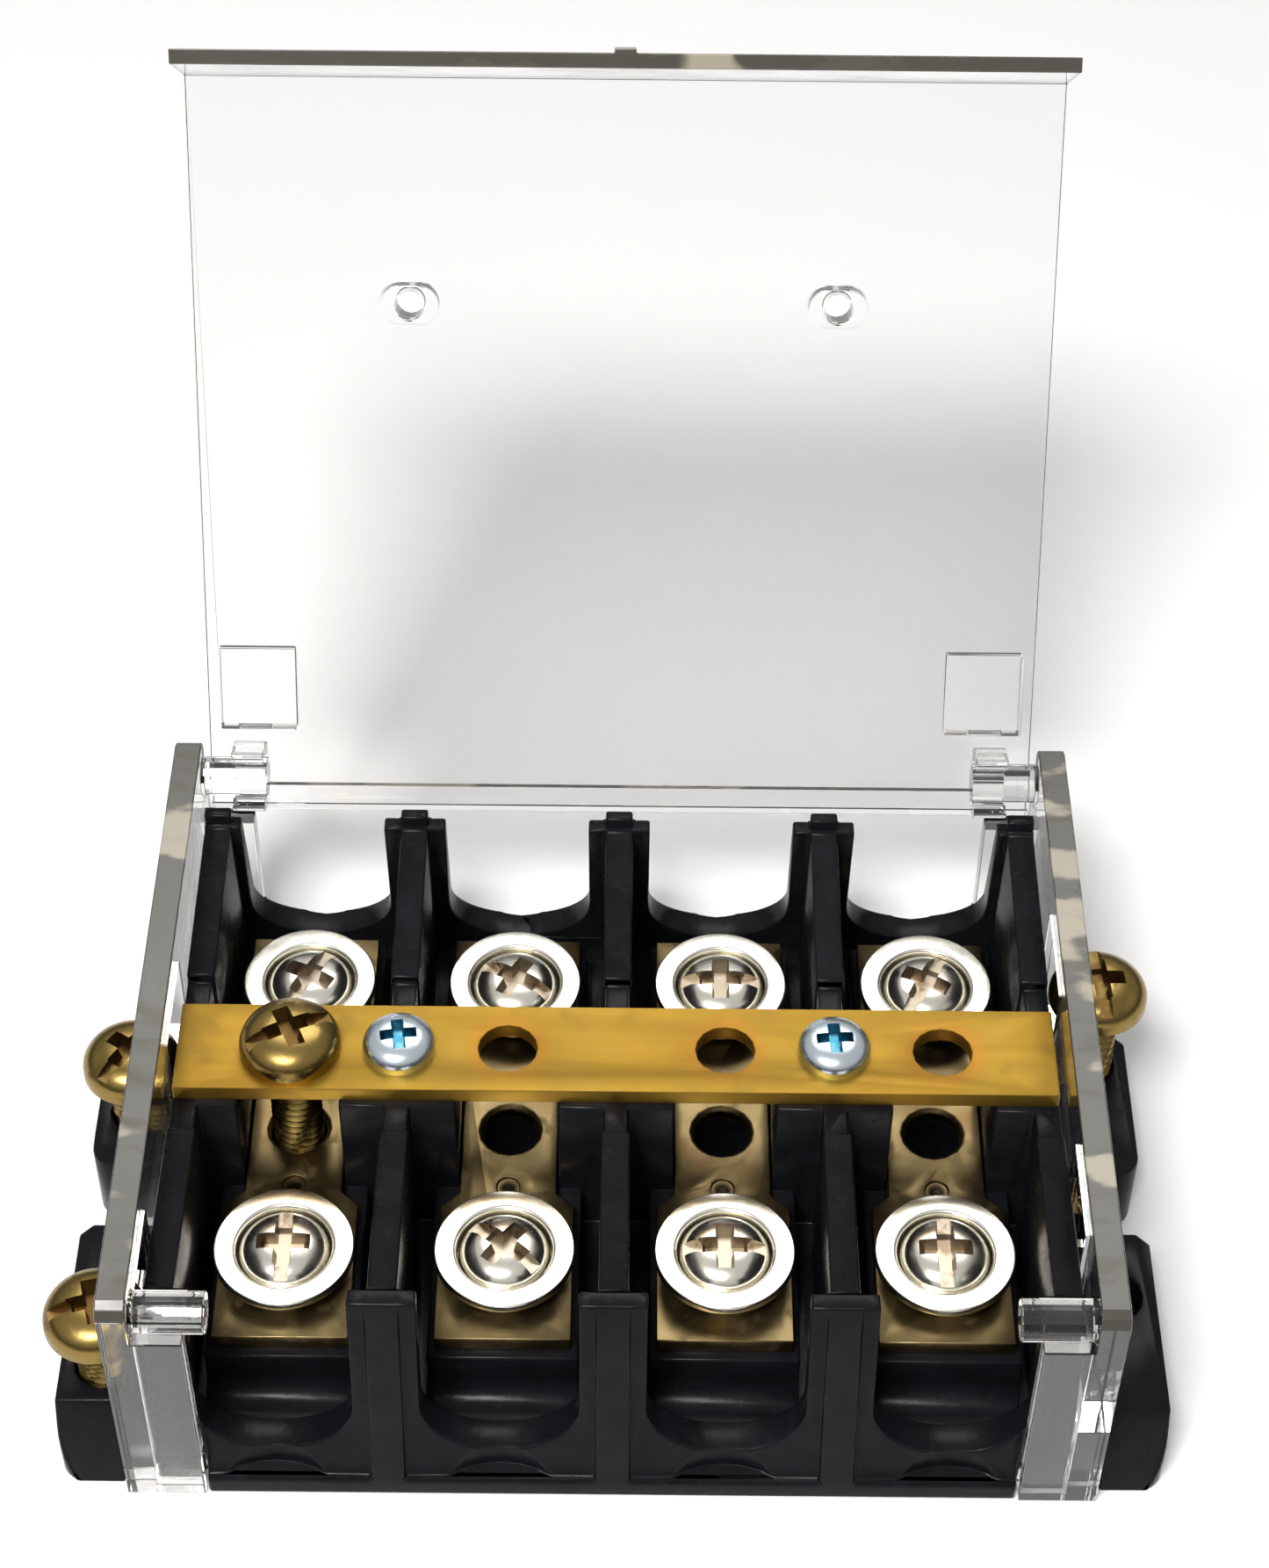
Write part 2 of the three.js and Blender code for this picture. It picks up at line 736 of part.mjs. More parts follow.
place('shorting_screw_in_bar', shortingScrew(), darkBrass, [poles[0], 0, barTop + pressFit], 25);
storedScrews.forEach(({ name, side, y, under }, i) => {
  const turn = 15 + 40 * i;
  place(`stored_screw_${name}`, shortingScrew(), darkBrass, [side * storageOffset, y, under], turn);
});

place('end_plate_left', endPlate(-1), clear);
place('end_plate_right', endPlate(1), clear);

const hinge = new THREE.Group();
hinge.position.set(0, pegRow, pegHeight);
hinge.rotation.x = THREE.MathUtils.degToRad(-coverOpenAngle);
assembly.add(hinge);
place('cover', cover(), clear, [0, 0, 0], 0, hinge);

export default assembly;
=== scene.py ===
"""Looks for a four-pole short-circuiting terminal block with a hinged clear cover.

The CAD frame gives every place and size. Detailed metal, moulded and clear pieces
replace the plain CAD solids one for one and ride on the same bodies.
"""

import json
import math

import bmesh
import bpy
from mathutils import Matrix, Vector


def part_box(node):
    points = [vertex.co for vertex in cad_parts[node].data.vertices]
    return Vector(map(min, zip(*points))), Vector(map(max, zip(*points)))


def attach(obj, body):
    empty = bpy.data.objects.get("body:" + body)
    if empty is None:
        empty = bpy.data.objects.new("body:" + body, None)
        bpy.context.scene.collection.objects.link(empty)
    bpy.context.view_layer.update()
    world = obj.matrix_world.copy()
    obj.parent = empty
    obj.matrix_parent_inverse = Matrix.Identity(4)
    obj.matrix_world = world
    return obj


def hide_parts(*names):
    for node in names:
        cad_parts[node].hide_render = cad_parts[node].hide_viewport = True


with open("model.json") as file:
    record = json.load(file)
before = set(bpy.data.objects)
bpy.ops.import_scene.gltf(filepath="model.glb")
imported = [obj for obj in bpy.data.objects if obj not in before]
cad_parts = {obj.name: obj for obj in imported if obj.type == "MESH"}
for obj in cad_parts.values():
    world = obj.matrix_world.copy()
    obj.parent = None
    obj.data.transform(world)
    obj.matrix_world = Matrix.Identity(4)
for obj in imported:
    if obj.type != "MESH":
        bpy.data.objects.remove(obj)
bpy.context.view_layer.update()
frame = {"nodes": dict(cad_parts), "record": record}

MM = 0.001
scene = bpy.context.scene
nodes = frame["nodes"]
bodies = frame["record"]["behaviour"]["bodies"]
body_of = {node: body for body, members in bodies.items() for node in members}
slot_of = {part["node"]: part["material_slot"] for part in frame["record"]["subparts"]}

THREAD_PITCH = 0.794 * MM
THREAD_DEPTH = 0.42 * MM
POLE_PITCH = 19.05 * MM
END_SHEET = 2.45 * MM
OPEN_ANGLE = 116.0
CLEAR_IOR = 1.49

CAMERA_PLACE = Vector((0.85, -175.97, 239.85)) * MM
CAMERA_YAW = 0.148
CAMERA_TILT = 46.44
CAMERA_ROLL = 0.655
CAMERA_LENS = 73.35
CAMERA_SENSOR = 36.0
LIT_SPOT = (0, 0, 0.01)
TABLE_HALF = 1.5
TABLE_DROP = 0.05 * MM


# ---- Camera, floor and light ----------------------------------------------

def add_camera():
    """A camera above the front edge, looking down at the open block."""
    camera = bpy.data.objects.new("camera", bpy.data.cameras.new("camera"))
    scene.collection.objects.link(camera)
    camera.location = CAMERA_PLACE
    yaw, down, roll = (math.radians(angle) for angle in (CAMERA_YAW, CAMERA_TILT, CAMERA_ROLL))
    forward = Vector((math.sin(yaw) * math.cos(down), math.cos(yaw) * math.cos(down), -math.sin(down)))
    level = Vector((math.cos(yaw), -math.sin(yaw), 0.0))
    above = level.cross(forward)
    right = level * math.cos(roll) + above * math.sin(roll)
    up = above * math.cos(roll) - level * math.sin(roll)
    turn = Matrix((right, up, -forward)).transposed()
    camera.rotation_mode = "QUATERNION"
    camera.rotation_quaternion = turn.to_quaternion()
    camera.data.sensor_fit = "VERTICAL"
    camera.data.sensor_height = CAMERA_SENSOR
    camera.data.lens = CAMERA_LENS
    camera.data.clip_start = 0.01
    scene.camera = camera


def add_lamp(name, place, size, power, tint, gloss_only=False):
    """A rectangular lamp aimed at the block; a gloss-only one lights no diffuse surface."""
    lamp = bpy.data.lights.new(name, "AREA")
    lamp.shape = "RECTANGLE"
    lamp.size, lamp.size_y = size
    lamp.energy = power
    lamp.color = tint
    holder = bpy.data.objects.new(name, lamp)
    scene.collection.objects.link(holder)
    holder.location = place
    holder.visible_diffuse = not gloss_only
    holder.rotation_mode = "QUATERNION"
    holder.rotation_quaternion = (Vector(place) - Vector(LIT_SPOT)).to_track_quat("Z", "Y")


def add_room():
    """A room that is bright overhead and dim towards the horizon."""
    world = bpy.data.worlds.new("room")
    scene.world = world
    world.use_nodes = True
    nodes_of = world.node_tree.nodes
    links = world.node_tree.links
    place = nodes_of.new("ShaderNodeTexCoord")
    split = nodes_of.new("ShaderNodeSeparateXYZ")
    links.new(place.outputs["Generated"], split.inputs[0])
    height = nodes_of.new("ShaderNodeMapRange")
    height.interpolation_type = "SMOOTHSTEP"
    height.inputs["From Min"].default_value = 0.15
    height.inputs["From Max"].default_value = 0.50
    height.inputs["To Min"].default_value = 0.05
    height.inputs["To Max"].default_value = 0.60
    links.new(split.outputs["Z"], height.inputs["Value"])
    links.new(height.outputs["Result"], nodes_of["Background"].inputs["Strength"])
    nodes_of["Background"].inputs["Color"].default_value = (1.0, 0.995, 0.98, 1.0)


def add_studio():
    """A pale table, a panel above and behind that only shows as gloss, and a key from the front."""
    scene.view_settings.view_transform = "Standard"
    add_room()
    add_lamp("ceiling panel", (0.02, 0.42, 0.62), (0.50, 0.26), 2.0, (1.0, 0.99, 0.96), gloss_only=True)
    add_lamp("key", (-0.14, -0.30, 0.60), (0.22, 0.16), 4.6, (1.0, 0.985, 0.95))
    mesh = bpy.data.meshes.new("table")
    half = TABLE_HALF
    corners = [(-half, -half, 0), (half, -half, 0), (half, half, 0), (-half, half, 0)]
    mesh.from_pydata(corners, [], [(0, 1, 2, 3)])
    table = bpy.data.objects.new("table", mesh)
    scene.collection.objects.link(table)
    table.location.z = -TABLE_DROP
    material = bpy.data.materials.new("table paper")
    material.use_nodes = True
    shader = material.node_tree.nodes["Principled BSDF"]
    shader.inputs["Base Color"].default_value = (0.90, 0.90, 0.91, 1)
    shader.inputs["Roughness"].default_value = 0.7
    mesh.materials.append(material)


# ---- Shared shader groups -------------------------------------------------

def shader_group(name, inputs, output):
    """A shader node group with float inputs and one float output."""
    tree = bpy.data.node_groups.new(name, "ShaderNodeTree")
    for label, value in inputs.items():
        socket = tree.interface.new_socket(label, in_out="INPUT", socket_type="NodeSocketFloat")
        socket.default_value = value
    tree.interface.new_socket(output, in_out="OUTPUT", socket_type="NodeSocketFloat")
    return tree, tree.nodes.new("NodeGroupInput"), tree.nodes.new("NodeGroupOutput")


def math_node(tree, operation, *values):
    """A Math node fed by sockets or plain numbers; returns its output."""
    node = tree.nodes.new("ShaderNodeMath")
    node.operation = operation
    for socket, value in zip(node.inputs, values):
        if isinstance(value, (int, float)):
            socket.default_value = value
        else:
            tree.links.new(value, socket)
    return node.outputs[0]


def placed_noise(tree, given, detail):
    """Noise on Object coordinates, stretched along each axis by the group's inputs."""
    place = tree.nodes.new("ShaderNodeTexCoord")
    stretch = tree.nodes.new("ShaderNodeCombineXYZ")
    for axis in "XYZ":
        tree.links.new(given.outputs["Along " + axis], stretch.inputs[axis])
    scaled = tree.nodes.new("ShaderNodeVectorMath")
    scaled.operation = "MULTIPLY"
    tree.links.new(place.outputs["Object"], scaled.inputs[0])
    tree.links.new(stretch.outputs[0], scaled.inputs[1])
    texture = tree.nodes.new("ShaderNodeTexNoise")
    texture.noise_dimensions = "4D"
    texture.inputs["Detail"].default_value = detail
    tree.links.new(scaled.outputs[0], texture.inputs["Vector"])
    tree.links.new(given.outputs["Scale"], texture.inputs["Scale"])
    tree.links.new(given.outputs["Seed"], texture.inputs["W"])
    return texture.outputs["Fac"]


STRETCH = {"Along X": 1.0, "Along Y": 1.0, "Along Z": 1.0}


def make_grain_group():
    tree, given, result = shader_group("surface grain", {"Scale": 400.0, "Seed": 0.0, **STRETCH}, "Height")
    tree.links.new(placed_noise(tree, given, 6.0), result.inputs["Height"])
    return tree


def make_patch_group():
    """A soft-edged blotch mask: Cover is how much is covered, Softness its edge."""
    inputs = {"Scale": 60.0, "Seed": 0.0, "Cover": 0.5, "Softness": 0.15, **STRETCH}
    tree, given, result = shader_group("patches", inputs, "Mask")
    start = math_node(tree, "SUBTRACT", 1.0, given.outputs["Cover"])
    end = math_node(tree, "ADD", start, given.outputs["Softness"])
    spread = tree.nodes.new("ShaderNodeMapRange")
    spread.interpolation_type = "SMOOTHSTEP"
    tree.links.new(placed_noise(tree, given, 4.0), spread.inputs["Value"])
    tree.links.new(start, spread.inputs["From Min"])
    tree.links.new(end, spread.inputs["From Max"])
    tree.links.new(spread.outputs["Result"], result.inputs["Mask"])
    return tree


def make_edge_wear_and_light_group():
    """Rubbed edges and painted edge light: the piece's own edge mask broken up by noise. Finishes tint it
    lighter for wear and painted highlights, or darker for painted shade.
    """
    inputs = {"Scale": 300.0, "Seed": 0.0, "Amount": 1.0, **STRETCH}
    tree, given, result = shader_group("edge wear and painted light", inputs, "Mask")
    rim = tree.nodes.new("ShaderNodeAttribute")
    rim.attribute_name = "rim"
    broken = math_node(tree, "MULTIPLY", rim.outputs["Fac"], placed_noise(tree, given, 3.0))
    tree.links.new(math_node(tree, "MULTIPLY", broken, given.outputs["Amount"]), result.inputs["Mask"])
    return tree


def make_hole_group():
    """A disc of stain round holes spaced Pitch apart along X, on the line y = 0."""
    inputs = {"Pitch": POLE_PITCH, "Radius": 5.0 * MM, "Softness": 2.0 * MM}
    tree, given, result = shader_group("stain round holes", inputs, "Mask")
    place = tree.nodes.new("ShaderNodeTexCoord")
    split = tree.nodes.new("ShaderNodeSeparateXYZ")
    tree.links.new(place.outputs["Object"], split.inputs[0])
    half = math_node(tree, "MULTIPLY", given.outputs["Pitch"], 0.5)
    wrapped = math_node(tree, "FLOORED_MODULO", split.outputs["X"], given.outputs["Pitch"])
    along = math_node(tree, "SUBTRACT", wrapped, half)
    along_squared = math_node(tree, "POWER", along, 2.0)
    across_squared = math_node(tree, "POWER", split.outputs["Y"], 2.0)
    squares = math_node(tree, "ADD", along_squared, across_squared)
    distance = math_node(tree, "SQRT", squares)
    inner = math_node(tree, "SUBTRACT", given.outputs["Radius"], given.outputs["Softness"])
    fade = tree.nodes.new("ShaderNodeMapRange")
    fade.interpolation_type = "SMOOTHSTEP"
    fade.inputs["To Min"].default_value = 1.0
    fade.inputs["To Max"].default_value = 0.0
    tree.links.new(distance, fade.inputs["Value"])
    tree.links.new(inner, fade.inputs["From Min"])
    tree.links.new(given.outputs["Radius"], fade.inputs["From Max"])
    tree.links.new(fade.outputs["Result"], result.inputs["Mask"])
    return tree


grain_group = make_grain_group()
patch_group = make_patch_group()
edge_wear_and_light_group = make_edge_wear_and_light_group()
hole_group = make_hole_group()


# ---- Finishes -------------------------------------------------------------

class Finish:
    """A Principled material that is built up layer by layer."""

    def __init__(self, name, color, roughness, metallic=0.0):
        self.material = bpy.data.materials.new(name)
        self.material.use_nodes = True
        self.tree = self.material.node_tree
        self.shader = self.tree.nodes["Principled BSDF"]
        self.shader.inputs["Metallic"].default_value = metallic
        self.color = (*color, 1.0)
        self.rough = roughness
        self.height = None

    def group(self, tree, **values):
        """Adds a shader group with these inputs; an underscore stands for a space."""
        node = self.tree.nodes.new("ShaderNodeGroup")
        node.node_tree = tree
        for label, value in values.items():
            node.inputs[label.replace("_", " ")].default_value = value
        return node.outputs[0]

    def tint(self, mask, color, strength=1.0):
        """Blends the colour towards another where the mask is high."""
        mix = self.tree.nodes.new("ShaderNodeMix")
        mix.data_type = "RGBA"
        amount = math_node(self.tree, "MULTIPLY", mask, strength)
        self.tree.links.new(amount, mix.inputs["Factor"])
        if isinstance(self.color, tuple):
            mix.inputs["A"].default_value = self.color
        else:
            self.tree.links.new(self.color, mix.inputs["A"])
        mix.inputs["B"].default_value = (*color, 1.0)
        self.color = mix.outputs["Result"]
        return self

    def roughen(self, mask, change):
        """Adds to the roughness where the mask is high."""
        self.rough = math_node(self.tree, "ADD", self.rough, math_node(self.tree, "MULTIPLY", mask, change))
        return self

    def bump(self, height, depth):
        """Adds a layer of relief, in metres of depth."""
        bump = self.tree.nodes.new("ShaderNodeBump")
        bump.inputs["Distance"].default_value = depth
        self.tree.links.new(height, bump.inputs["Height"])
        if self.height is not None:
            self.tree.links.new(self.height, bump.inputs["Normal"])
        self.height = bump.outputs["Normal"]
        return self

    def done(self):
        """Wires the built-up colour, roughness and relief to the shader."""
        links = self.tree.links
        if isinstance(self.color, tuple):
            self.shader.inputs["Base Color"].default_value = self.color
        else:
            links.new(self.color, self.shader.inputs["Base Color"])
        if isinstance(self.rough, (int, float)):
            self.shader.inputs["Roughness"].default_value = self.rough
        else:
            links.new(self.rough, self.shader.inputs["Roughness"])
        if self.height is not None:
            links.new(self.height, self.shader.inputs["Normal"])
        return self.material


def black_phenolic():
    finish = Finish("black phenolic", (0.0018, 0.0019, 0.0025), 0.25)
    finish.shader.inputs["Specular IOR Level"].default_value = 0.10
    cloud = finish.group(patch_group, Scale=90.0, Cover=0.55, Softness=0.3)
    dust = finish.group(patch_group, Scale=700.0, Cover=0.42, Softness=0.12, Seed=3.0)
    wear = finish.group(edge_wear_and_light_group, Scale=350.0, Amount=1.1)
    finish.tint(cloud, (0.0032, 0.0035, 0.0048), 0.7)
    finish.tint(dust, (0.016, 0.016, 0.020), 0.12)
    finish.tint(wear, (0.022, 0.023, 0.029), 0.4)
    finish.roughen(cloud, 0.10).roughen(dust, 0.16)
    finish.bump(finish.group(grain_group, Scale=1500.0), 0.00002)
    finish.bump(finish.group(grain_group, Scale=160.0, Seed=2.0), 0.00006)
    return finish.done()


def bar_brass():
    finish = Finish("rolled brass", (0.42, 0.265, 0.034), 0.44, 1.0)
    rolled = finish.group(grain_group, Scale=900.0, Along_X=0.06)
    warm = finish.group(patch_group, Scale=110.0, Cover=0.52, Softness=0.25, Along_Y=0.8)
    dull = finish.group(patch_group, Scale=260.0, Cover=0.45, Softness=0.2, Seed=5.0)
    spots = finish.group(patch_group, Scale=900.0, Cover=0.30, Softness=0.05, Seed=8.0)
    halo = finish.group(hole_group, Radius=4.6 * MM, Softness=1.8 * MM)
    finish.tint(warm, (0.47, 0.245, 0.020), 0.6)
    finish.tint(dull, (0.33, 0.225, 0.045), 0.6)
    finish.tint(halo, (0.60, 0.22, 0.03), 0.45)
    finish.tint(spots, (0.13, 0.08, 0.025), 0.55)
    finish.tint(rolled, (0.34, 0.215, 0.035), 0.45)
    # Darker along the rounded edges: painted shade.
    finish.tint(finish.group(edge_wear_and_light_group, Scale=250.0), (0.30, 0.17, 0.04), 0.7)
    finish.roughen(rolled, 0.14).roughen(dull, 0.10)
    finish.bump(rolled, 0.00003)
    return finish.done()


def dark_brass():
    finish = Finish("tarnished brass", (0.27, 0.185, 0.058), 0.27, 1.0)
    olive = finish.group(patch_group, Scale=300.0, Cover=0.55, Softness=0.2)
    brown = finish.group(patch_group, Scale=520.0, Cover=0.42, Softness=0.14, Seed=4.0)
    finish.tint(olive, (0.16, 0.118, 0.035), 0.8)
    finish.tint(brown, (0.08, 0.045, 0.016), 0.7)
    finish.tint(finish.group(edge_wear_and_light_group, Scale=400.0), (0.58, 0.45, 0.20), 0.6)
    finish.roughen(brown, 0.22).roughen(olive, 0.08)
    finish.bump(finish.group(grain_group, Scale=1200.0), 0.00002)
    return finish.done()


def recess_brass():
    finish = Finish("brown recess", (0.13, 0.075, 0.025), 0.42, 1.0)
    finish.tint(finish.group(patch_group, Scale=700.0), (0.28, 0.20, 0.07), 0.5)
    finish.bump(finish.group(grain_group, Scale=900.0), 0.00003)
    return finish.done()


def bright_nickel():
    finish = Finish("bright nickel", (0.78, 0.755, 0.68), 0.21, 1.0)
    smudge = finish.group(patch_group, Scale=220.0, Cover=0.5, Softness=0.25)
    pits = finish.group(patch_group, Scale=1600.0, Cover=0.30, Softness=0.05, Seed=6.0)
    finish.tint(smudge, (0.58, 0.54, 0.44), 0.55)
    finish.tint(pits, (0.24, 0.18, 0.11), 0.6)
    finish.tint(finish.group(edge_wear_and_light_group, Scale=300.0), (0.85, 0.83, 0.77), 0.5)
    finish.roughen(smudge, 0.14).roughen(pits, 0.2)
    finish.bump(finish.group(grain_group, Scale=800.0), 0.00002)
    return finish.done()


def recess_nickel():
    finish = Finish("brown-stained recess", (0.42, 0.36, 0.28), 0.36, 1.0)
    finish.tint(finish.group(patch_group, Scale=650.0, Cover=0.5), (0.16, 0.11, 0.07), 0.75)
    finish.bump(finish.group(grain_group, Scale=900.0), 0.00003)
    return finish.done()


def tarnished_strap():
    # Tarnished metal; its near-black base colour also paints in the dark reflection of the black moulding
    # around it.
    finish = Finish("tarnished strap with painted light", (0.030, 0.024, 0.016), 0.34, 1.0)
    copper = finish.group(patch_group, Scale=170.0, Cover=0.50, Softness=0.18)
    ring = finish.group(hole_group, Radius=6.4 * MM, Softness=3.4 * MM)
    brown = finish.group(patch_group, Scale=420.0, Cover=0.45, Softness=0.12, Seed=7.0)
    finish.tint(copper, (0.050, 0.024, 0.012), 0.55)
    finish.tint(math_node(finish.tree, "MULTIPLY", ring, copper), (0.15, 0.050, 0.016), 0.75)
    finish.tint(brown, (0.014, 0.010, 0.007), 0.6)
    # Gold along the edges: wear and painted highlights.
    finish.tint(finish.group(edge_wear_and_light_group, Scale=260.0), (0.42, 0.31, 0.14), 0.8)
    finish.roughen(copper, 0.12).roughen(brown, 0.18)
    finish.bump(finish.group(grain_group, Scale=700.0, Along_X=0.3), 0.00003)
    return finish.done()


def zinc_plate():
    finish = Finish("blue-white zinc", (0.60, 0.68, 0.74), 0.24, 1.0)
    bloom = finish.group(patch_group, Scale=420.0, Cover=0.5, Softness=0.25)
    finish.tint(bloom, (0.45, 0.56, 0.66), 0.6)
    finish.tint(finish.group(edge_wear_and_light_group, Scale=300.0), (0.82, 0.86, 0.9), 0.5)
    finish.roughen(bloom, 0.14)
    finish.bump(finish.group(grain_group, Scale=1100.0), 0.00002)
    return finish.done()


def recess_zinc():
    finish = Finish("teal recess", (0.05, 0.20, 0.29), 0.34, 1.0)
    finish.tint(finish.group(patch_group, Scale=800.0), (0.16, 0.36, 0.46), 0.6)
    finish.bump(finish.group(grain_group, Scale=900.0), 0.00002)
    return finish.done()


def clear_plastic():
    finish = Finish("clear plastic", (0.985, 0.982, 0.975), 0.03)
    finish.shader.inputs["Transmission Weight"].default_value = 1.0
    finish.shader.inputs["IOR"].default_value = CLEAR_IOR
    finish.roughen(finish.group(patch_group, Scale=45.0, Cover=0.4, Softness=0.3), 0.05)
    finish.bump(finish.group(grain_group, Scale=22.0), 0.00012)
    return finish.done()


def clear_edge():
    """Polished edges painted olive-brown with cream bands: painted shade and painted reflections of the
    light that the edges pipe away.
    """
    finish = Finish("clear plastic edge", (0.055, 0.052, 0.042), 0.24)
    finish.shader.inputs["Transmission Weight"].default_value = 0.12
    finish.shader.inputs["IOR"].default_value = CLEAR_IOR
    bands = finish.group(patch_group, Scale=75.0, Cover=0.42, Softness=0.05, Along_Y=1.8, Along_Z=0.2)
    streaks = finish.group(patch_group, Scale=420.0, Cover=0.5, Softness=0.2, Along_X=0.3, Seed=2.0)
    finish.tint(streaks, (0.075, 0.068, 0.052), 0.7)
    # Cream bands: painted reflections.
    finish.tint(bands, (0.50, 0.45, 0.34), 0.60)
    finish.roughen(streaks, 0.12)
    return finish.done()


FINISHES = {
    "black_phenolic": black_phenolic(),
    "bar_brass": bar_brass(),
    "dark_brass": dark_brass(),
    "bright_nickel": bright_nickel(),
    "tarnished_strap": tarnished_strap(),
    "zinc_plate": zinc_plate(),
    "clear_plastic": clear_plastic(),
}
RECESSES = {"dark_brass": recess_brass(), "bright_nickel": recess_nickel(), "zinc_plate": recess_zinc()}
EDGE_CLEAR = clear_edge()


# ---- Mesh helpers ---------------------------------------------------------

def new_piece(name, mesh):
    piece = bpy.data.objects.new(name, mesh)
    scene.collection.objects.link(piece)
    return piece


def settled_mesh(piece, name):
    """The piece with its modifiers applied, as a plain mesh."""
    bpy.context.view_layer.update()
    evaluated = piece.evaluated_get(bpy.context.evaluated_depsgraph_get())
    mesh = bpy.data.meshes.new_from_object(evaluated)
    mesh.name = name
    return mesh


def hand_over(piece, node):
    """The piece stands for its CAD node, on the same body."""
    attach(piece, body_of[node])
    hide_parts(node)


def smooth(mesh, angle=32.0):
    mesh.shade_smooth()
    mesh.set_sharp_from_angle(angle=math.radians(angle))


def mark_rims(mesh, width):
    """Writes the rim attribute: 1 on the narrow faces that round an edge, 0 elsewhere."""
    rim = mesh.attributes.new("rim", "FLOAT", "POINT")
    values = [0.0] * len(mesh.vertices)
    for face in mesh.polygons:
        edges = [(mesh.vertices[a].co - mesh.vertices[b].co).length for a, b in face.edge_keys]
        if min(edges) < width and len(edges) <= 4:
            for index in face.vertices:
                values[index] = 1.0
    rim.data.foreach_set("value", values)


WELD = 0.004 * MM
FLAT_ANGLE = 0.8
BEVEL_SEGMENTS = 2
BEVEL_ANGLE = 28.0


def rounded_copy(node, radius):
    """A CAD solid's own shape with its sharp edges rounded over."""
    mesh = nodes[node].data.copy()
    mesh.materials.clear()
    shell = bmesh.new()
    shell.from_mesh(mesh)
    bmesh.ops.remove_doubles(shell, verts=shell.verts, dist=WELD)
    limit = math.radians(FLAT_ANGLE)
    bmesh.ops.dissolve_limit(shell, angle_limit=limit, verts=shell.verts, edges=shell.edges)
    shell.to_mesh(mesh)
    shell.free()
    piece = new_piece("rounding", mesh)
    bevel = piece.modifiers.new("rounding", "BEVEL")
    bevel.width = radius
    bevel.segments = BEVEL_SEGMENTS
    bevel.limit_method = "ANGLE"
    bevel.angle_limit = math.radians(BEVEL_ANGLE)
    bevel.use_clamp_overlap = False
    bevel.miter_outer = "MITER_ARC"
    settled = settled_mesh(piece, node)
    bpy.data.objects.remove(piece)
    mark_rims(settled, radius)
    smooth(settled)
    return settled


# ---- Threaded screws by Geometry Nodes ------------------------------------

class Tree:
    """A short way to write a Geometry Nodes tree."""

    def __init__(self, name, sizes):
        self.group = bpy.data.node_groups.new(name, "GeometryNodeTree")
        self.keys = {}
        for label in sizes:
            socket = self.group.interface.new_socket(label, in_out="INPUT", socket_type="NodeSocketFloat")
            self.keys[label] = socket.identifier
        for label in ("Finish", "Recess Finish"):
            kind = "NodeSocketMaterial"
            socket = self.group.interface.new_socket(label, in_out="INPUT", socket_type=kind)
            self.keys[label] = socket.identifier
        self.group.interface.new_socket("Geometry", in_out="OUTPUT", socket_type="NodeSocketGeometry")
        self.given = self.group.nodes.new("NodeGroupInput").outputs
        self.result = self.group.nodes.new("NodeGroupOutput").inputs

    def node(self, kind, settings=None, **values):
        """Adds a node; an underscore in an input's name stands for a space."""
        made = self.group.nodes.new(kind)
        for key, value in (settings or {}).items():
            setattr(made, key, value)
        for label, value in values.items():
            self.feed(value, made.inputs[label.replace("_", " ")])
        return made

    def feed(self, value, socket):
        if isinstance(value, bpy.types.NodeSocket):
            self.group.links.new(value, socket)
        else:
            socket.default_value = value

    def math(self, operation, *values):
        made = self.node("ShaderNodeMath", {"operation": operation})
        for socket, value in zip(made.inputs, values):
            self.feed(value, socket)
        return made.outputs[0]

    def vector(self, x, y, z):
        return self.node("ShaderNodeCombineXYZ", X=x, Y=y, Z=z).outputs[0]


def around_axis(tree):
    """The angle, the distance from the axis and the height of each point."""
    place = tree.node("GeometryNodeInputPosition").outputs[0]
    split = tree.node("ShaderNodeSeparateXYZ", Vector=place).outputs
    angle = tree.math("ARCTAN2", split["Y"], split["X"])
    squares = tree.math("ADD", tree.math("MULTIPLY", split["X"], split["X"]),
                        tree.math("MULTIPLY", split["Y"], split["Y"]))
    return angle, tree.math("SQRT", squares), split["Z"]


def polar(tree, radius, angle, height):
    """A point from its distance from the axis, its angle and its height."""
    x = tree.math("MULTIPLY", radius, tree.math("COSINE", angle))
    y = tree.math("MULTIPLY", radius, tree.math("SINE", angle))
    return tree.vector(x, y, height)


SHANK_SIDES = 28
SHANK_RINGS = 84
HEAD_SIDES = 56
HEAD_RINGS = 16
DOME_SWEEP = 0.94
RECESS_TAPER = 0.30
SLOT_TAPER = 0.02
WING_SHARE = 0.33
SLOT_OVERRUN = 1.2


